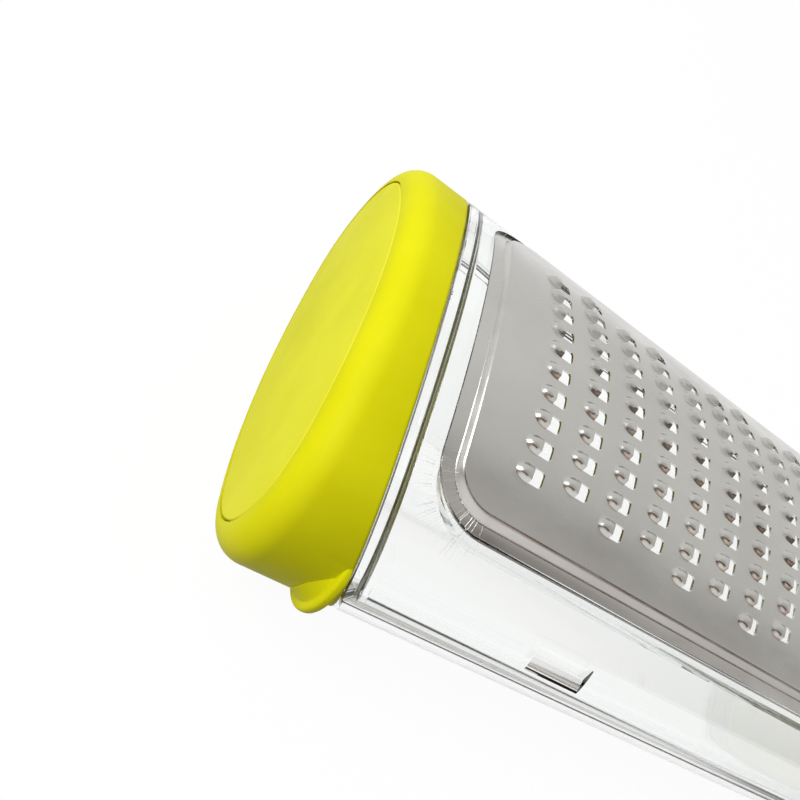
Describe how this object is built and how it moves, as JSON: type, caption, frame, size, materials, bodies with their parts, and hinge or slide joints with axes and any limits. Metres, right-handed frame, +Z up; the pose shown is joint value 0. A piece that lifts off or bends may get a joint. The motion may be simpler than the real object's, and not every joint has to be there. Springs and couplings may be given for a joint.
{
  "type": "cheese grater",
  "caption": "Hand-held cheese grater with an arched steel plate in a clear oval collecting body, with lime end caps and a drop-off tray.",
  "frame": {"origin": "middle of the flat underside that the grater rests on", "axes": "+X along the body from the pull-off cap to the rear cap, +Y to the side away from the pull tab, +Z up out of the grating plate"},
  "size_m": [0.2032, 0.0774, 0.0498],
  "materials": {
    "steel": "satin",
    "clear": "gloss",
    "lime": "satin",
    "lime_pad": "matte",
    "silicone": "matte"
  },
  "bodies": {
    "housing": {"upper_housing": "clear", "grater_plate": "steel", "plate_retainer": "clear", "rear_cap": "lime", "rear_cap_pad": "lime_pad"},
    "cap": {"front_cap": "lime", "front_cap_pad": "lime_pad", "cap_gasket": "silicone"},
    "tray": {"collecting_tray": "clear"}
  },
  "joints": [
    {"name": "cap_pull", "type": "slide", "parent": "housing", "child": "cap", "axis": [-1, 0, 0], "range_m": [0, 0.04]},
    {"name": "tray_drop", "type": "slide", "parent": "housing", "child": "tray", "axis": [0.332, 0, -0.9433], "range_m": [0, 0.03]}
  ]
}
